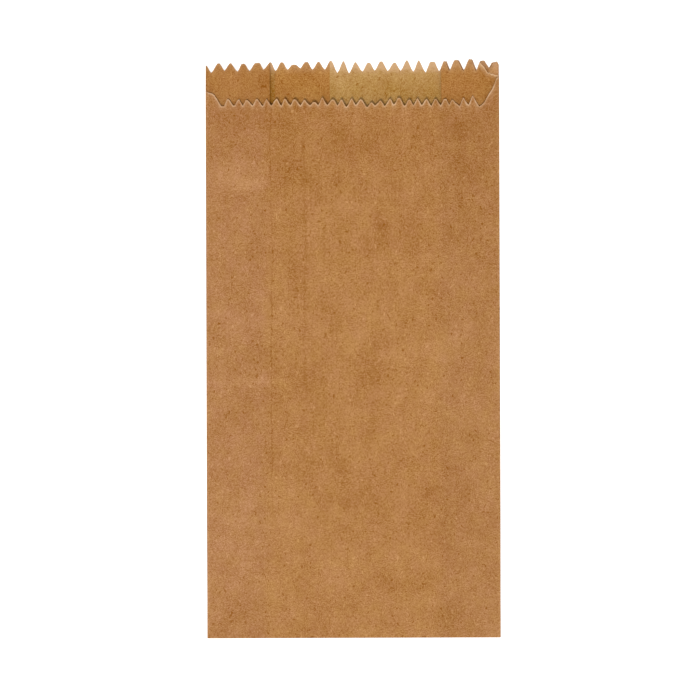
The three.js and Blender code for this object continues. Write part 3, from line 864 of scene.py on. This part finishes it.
def handled(tree, blank, tone, patterns):
    """The tone with the marks of folding and handling on the outside, a darkening towards the lip, and
    the paler side folds, which are partly painted light.
    """
    up = add(tree, MEASURE, attribute_name="up", result="Fac")
    ragged = add(tree, MATH, (patterns["clouds"], RAGGED, -RAGGED / 2), operation="MULTIPLY_ADD")
    marks = [press_line(tree, blank, *line) for line in PRESS_LINES]
    marks += [rubbed_place(tree, blank, ragged, *patch) for patch in RUBBED]
    marks.append(add(tree, RANGE, (up, *MOUTH_SHADE), **SMOOTH))
    across = add(tree, MEASURE, attribute_name="across", result="Fac")
    across = add(tree, MATH, (across,), operation="ABSOLUTE")
    marks.append(add(tree, RANGE, (across, *WORN_FOLD_AND_PAINTED_LIGHT), **SMOOTH))
    for mark in marks:
        tone = add(tree, MATH, (tone, mark))
    return tone


print(f"the side folds are worn from {WORN_FOLD_AND_PAINTED_LIGHT[0]:.1f} mm off the middle")

# %% [markdown]
# ### Places
#
# The paper looks different over each gusset, where there is more of it behind, and where it lies
# alone: there it lets some of the white table through and turns olive. On the inside these tints are
# painted light and shade: darker over the gussets, and olive where the paper lies alone. Towards the
# gussets the change is soft and wanders. Where the paper lies alone it is as sharp as the edges of
# the other plies.

# %% Tints by place
OVER_GUSSET = (40.0, 48.0)  # millimetres off the middle, over which a gusset begins to show
EDGE_WANDER = ((30, 30), 1.0, 5.0)
EDGE_WANDER_BY = 6.0  # millimetres


def placed(tree, blank, colour, left, right, alone):
    """The colour with its tints over the left gusset, over the right one and where it is alone."""
    across = add(tree, MEASURE, attribute_name="across", result="Fac")
    wander = (mottle(tree, blank, *EDGE_WANDER), EDGE_WANDER_BY, -EDGE_WANDER_BY / 2)
    across = add(tree, MATH, (across, add(tree, MATH, wander, operation="MULTIPLY_ADD")))
    near, far = OVER_GUSSET
    shares = (
        add(tree, RANGE, (across, -far, -near, 1.0, 0.0), **SMOOTH),
        add(tree, RANGE, (across, near, far), **SMOOTH),
        add(tree, MEASURE, attribute_name="alone", result="Fac"),
    )
    for share, tint in zip(shares, (left, right, alone)):
        inputs = {SHARE: share, FIRST: colour, SECOND: (*tint, 1.0)}
        colour = add(tree, MIX, inputs, blend_type="MULTIPLY", **COLOUR_MIX)
    return colour


print(f"the gussets show from {OVER_GUSSET[0]} mm off the middle")

# %% [markdown]
# ### Cut fibres and painted light
#
# A serrated blade tears more than it cuts, and opened fibres are paler: a thin line along the edge,
# stronger in some places than in others, and a faint soft band behind it. All teeth grow a little
# paler towards their tips. Those that stand alone over the white table are paler all through, and the
# single ply a little paler just below them: that is painted light, which the table sends through the
# paper.

# %% Cut fibres, and painted light through single teeth
PATCHY = ((5, 5), 2.0, 23.0)
PATCHES = (0.35, 0.65, 0.45, 1.0)  # from, to, and the share of the paleness from and to
RAGGED_LINE = 0.9  # millimetres by which the grit moves the edge of the pale line
UNEVEN = ((3, 3), 1.0, 12.0)
UNEVEN_BY = 5.0  # millimetres by which the pale tips reach down unevenly
valley_up = mouth_valley / MM
# In millimetres from the cut or up the bag: from, to, and the share of the pale colour from and to.
PALE_LINE = (0.35, 0.9, 1.0, 0.0)
PALE_BAND = (0.6, 2.8, 0.22, 0.0)
# The next two are painted light, where the back stands alone over the white table and lets its light
# through.
PAINTED_LIGHT_IN_TEETH = (valley_up - 2.4, valley_up + 2.2, 0.0, 0.6)
PAINTED_LIGHT_BELOW_TEETH = (valley_up - 12.0, valley_up, 0.0, 0.1)
PALE_TIPS = (valley_up - 3.0, valley_up + 5.0, 0.0, 0.3)
TIPS_BY_PLACE = (-46.0, -38.0, 0.35, 1.0)  # at the left gusset they are hardly paler


def cut_fibres(tree, blank, colour, patterns, pale):
    """The colour with its pale line and band along the cut, its pale tips, and painted light in and
    below the teeth that stand alone.
    """
    cut = add(tree, MEASURE, attribute_name="cut_distance", result="Fac")
    up = add(tree, MEASURE, attribute_name="up", result="Fac")
    alone = add(tree, MEASURE, attribute_name="alone", result="Fac")
    paleness = add(tree, MEASURE, attribute_name="paleness", result="Fac")
    patchy = add(tree, RANGE, (mottle(tree, blank, *PATCHY), *PATCHES), **SMOOTH)
    paleness = add(tree, MATH, (paleness, patchy), operation="MULTIPLY")
    cut = add(tree, MATH, (cut, RAGGED_LINE / 2), operation="SUBTRACT")
    ragged = add(tree, MATH, (patterns["grit"], RAGGED_LINE, cut), operation="MULTIPLY_ADD")
    up_by = add(tree, MATH, (up, UNEVEN_BY / 2), operation="SUBTRACT")
    uneven = (mottle(tree, blank, *UNEVEN), UNEVEN_BY, up_by)
    uneven = add(tree, MATH, uneven, operation="MULTIPLY_ADD")
    across = add(tree, MEASURE, attribute_name="across", result="Fac")
    by_place = add(tree, RANGE, (across, *TIPS_BY_PLACE), **SMOOTH)
    shares = (
        (paleness, ragged, PALE_BAND),
        (alone, up, PAINTED_LIGHT_BELOW_TEETH),
        (alone, uneven, PAINTED_LIGHT_IN_TEETH),
        (by_place, uneven, PALE_TIPS),
        (paleness, ragged, PALE_LINE),
    )
    for strength, distance, limits in shares:
        share = add(tree, RANGE, (distance, *limits), **SMOOTH)
        share = add(tree, MATH, (strength, share), operation="MULTIPLY")
        colour = add(tree, MIX, {SHARE: share, FIRST: colour, SECOND: linear(pale)}, **COLOUR_MIX)
    return colour


print(f"teeth rise from {valley_up:.0f} mm up the bag")

# %% [markdown]
# ### The three surfaces
#
# All three are one kraft paper. Its outside lay on the drying cylinder and is glazed a little: it
# shines slightly more. Its inside dried in the air and is rougher, with deeper colour, and olive where
# the back lies alone, which is painted light from the white table behind it. Its torn edge shows
# opened fibres, pale and matt. Paper's roughness is usually between 0.6 and 0.9, and these three lie
# in that range in this order.

# %% The three surfaces
NO_TINT = (1.0, 1.0, 1.0)
# Hue is the share of the turn in hue. The tints are over the left gusset, over the right one and
# where the paper lies alone. On the inside they are painted shade over the gussets, and painted light
# from the white table where the paper lies alone.
SURFACES = {
    "glazed_kraft_outside": {
        "dark": "#935703", "light": "#CB965E", "hue": 0.5, "pale": "#E0B890", "roughness": 0.65,
        "tints": ((1.0, 1.0, 1.17), (0.97, 0.97, 1.04), NO_TINT), "shade": "outer_shade",
    },
    "rough_kraft_inside": {
        "dark": "#965700", "light": "#CC9653", "hue": 0.35, "pale": "#DEB58A", "roughness": 0.8,
        "tints": ((0.93, 0.91, 1.02), (0.95, 0.935, 0.98), (1.05, 1.28, 1.55)),
        "shade": "inner_shade",
    },
    "torn_kraft_edge": {
        "dark": "#B58C62", "light": "#DDB68C", "hue": 0.5, "pale": "#D8B088", "roughness": 0.85,
        "tints": (NO_TINT, NO_TINT, NO_TINT), "shade": "inner_shade",
    },
}
print("surfaces:", list(SURFACES))

# %% [markdown]
# The relief of the fibres is a few hundredths of a millimetre, far too little for geometry, so it is
# a bump. It follows the same fibres and grit as the tone does, so that pale flecks also stand up.

# %% Kraft materials
CELLULOSE_IOR = 1.53
SPECULAR = 0.2  # well under the usual 0.5, because the open fibres scatter the light
FIBRE_RELIEF, GRIT_RELIEF = 0.03, 0.02  # millimetres
RELIEF_STRENGTH = 0.4
# The shade measures are painted shade: a shade of 1 darkens the tone, and one below 0 lightens it.
SHADE = -0.3  # what a shade of 1 adds to the tone


def kraft(name, dark, light, hue, pale, roughness, tints, shade):
    """A material for one surface of the paper."""
    material = bpy.data.materials.new(name)
    material.use_nodes = True
    tree = material.node_tree
    tree.nodes.clear()
    blank = add(tree, "ShaderNodeUVMap", uv_map="blank")
    tone, patterns = grain(tree, blank)
    if shade == "outer_shade":
        tone = handled(tree, blank, tone, patterns)
    shaded = add(tree, MEASURE, attribute_name=shade, result="Fac")
    tone = add(tree, MATH, (shaded, SHADE, tone), operation="MULTIPLY_ADD")
    colour = coloured(tree, blank, tone, dark, light, hue)
    colour = placed(tree, blank, colour, *tints)
    colour = cut_fibres(tree, blank, colour, patterns, pale)

    relief = add(tree, MATH, (patterns["grit"], GRIT_RELIEF), operation="MULTIPLY")
    relief = add(tree, MATH, (patterns["fibres"], FIBRE_RELIEF, relief), operation="MULTIPLY_ADD")
    bump = {"Height": relief, "Strength": RELIEF_STRENGTH, "Distance": MM}
    look = {
        "Base Color": colour,
        "Roughness": roughness,
        "IOR": CELLULOSE_IOR,
        "Specular IOR Level": SPECULAR,
        "Normal": add(tree, "ShaderNodeBump", bump),
    }
    shader = add(tree, "ShaderNodeBsdfPrincipled", look)
    add(tree, "ShaderNodeOutputMaterial", {"Surface": shader})
    return material


for name, surface in SURFACES.items():
    sheet.materials.append(kraft(name, **surface))
print("materials:", [material.name for material in sheet.materials])

# %% [markdown]
# ## Thickness
#
# Solidify moves a copy of the sheet half a thickness each way and closes the cut edge with a rim. It
# also gives the outside, the inside and the rim a material each. The result is kept as the mesh, so
# that the cut edges can be marked sharp: smooth shading across them would draw a dark line beside
# every cut.

# %% Thickness
INSIDE, RIM = 1, 2  # places in the list of materials, after the outside
SHARP = math.radians(50)
solid = bag.modifiers.new("paper_thickness", "SOLIDIFY")
solid.thickness = PAPER
solid.offset = 0
solid.use_rim = True
solid.material_offset = INSIDE
solid.material_offset_rim = RIM
paper = bpy.data.meshes.new_from_object(bag.evaluated_get(bpy.context.evaluated_depsgraph_get()))
bag.modifiers.clear()
bag.data = paper
paper.set_sharp_from_angle(angle=SHARP)
print(f"paper {PAPER / MM} mm thick, {2 * len(paper.polygons)} triangles")

# %% [markdown]
# ## Table and light
#
# The photograph's ground is pure white. The table is white melamine laminate, printed paper pressed
# under clear resin with a satin plate, so the eye sees an even pale ground without any grain. It also
# glows, but only for rays that come from the camera, straight or by way of something shiny or clear.
# The lit table so reaches white, a shadow on it stays faintly visible, and no extra light falls on
# the bag.

# %% What the camera looks at
def looked_at(tree):
    """1 for rays that show the background to the camera, and 0 for those that only carry light."""
    seen = 0.0
    for kind in ("Camera", "Glossy", "Transmission"):
        ray = add(tree, "ShaderNodeLightPath", result=f"Is {kind} Ray")
        seen = add(tree, MATH, (seen, ray), operation="MAXIMUM")
    return seen


print("the table and the sky know which rays look at them")

# %% Table
TABLE_SIZE = 4.0  # metres
TABLE_GAP = 0.02 * MM  # under the bag, so that no two faces lie in one plane
TABLE_GREY, WHITE = linear("#E7E7E7"), linear("#FFFFFF")
GLOW = 0.74
half = TABLE_SIZE / 2
table_mesh = bpy.data.meshes.new("table")
corners = [(-half, -half, 0), (half, -half, 0), (half, half, 0), (-half, half, 0)]
table_mesh.from_pydata(corners, [], [(0, 1, 2, 3)])
table = bpy.data.objects.new("table", table_mesh)
table.location.z = low[2] - TABLE_GAP
bpy.context.scene.collection.objects.link(table)

white = bpy.data.materials.new("white_laminate")
white.use_nodes = True
tree = white.node_tree
tree.nodes.clear()
glow = add(tree, MATH, (looked_at(tree), GLOW), operation="MULTIPLY")
diffuse = add(tree, "ShaderNodeBsdfDiffuse", {"Color": TABLE_GREY})
lit = add(tree, "ShaderNodeEmission", {"Color": WHITE, "Strength": glow})
add(tree, "ShaderNodeOutputMaterial", {"Surface": add(tree, "ShaderNodeAddShader", (diffuse, lit))})
table_mesh.materials.append(white)
print(f"table {TABLE_SIZE} m square, glow {GLOW}")

# %% [markdown]
# A soft sky gives most of the light, and looks white past the table's edge in the same way as the
# table does. One lamp, high up and a little past the bottom of the bag, draws the thin dark line
# where the front panel's lip stands off the paper behind.

# %% Light
SKY = 0.55
LAMP = 1.41  # watts a square metre
LAMP_ANGLE = math.radians(7)  # wide enough for soft edges to the shadows
LAMP_DIRECTION = (0.05, 0.29, -1.0)  # the way its light travels

world = bpy.data.worlds.new("studio")
world.use_nodes = True
tree = world.node_tree
tree.nodes.clear()
strength = add(tree, MATH, (looked_at(tree), 1 - SKY, SKY), operation="MULTIPLY_ADD")
sky = add(tree, "ShaderNodeBackground", {"Color": WHITE, "Strength": strength})
add(tree, "ShaderNodeOutputWorld", {"Surface": sky})
bpy.context.scene.world = world
lamp_data = bpy.data.lights.new("steep_lamp", "SUN")
lamp_data.energy = LAMP
lamp_data.angle = LAMP_ANGLE
lamp = bpy.data.objects.new("steep_lamp", lamp_data)
away = [-part for part in LAMP_DIRECTION]
tilt = math.atan2(math.hypot(away[0], away[1]), away[2])
lamp.rotation_euler = (tilt, 0, math.atan2(away[0], -away[1]))
bpy.context.scene.collection.objects.link(lamp)
bpy.context.scene.view_settings.view_transform = "Standard"
print(f"sky {SKY}, lamp {LAMP}, {math.degrees(tilt):.0f} degrees off straight down")

# %% [markdown]
# ## Handing over
#
# The sheet stands for the solid bag and rides on its one body. The table is only the stage.

# %% Finish
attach(bag, "root")
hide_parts("paper_bag")
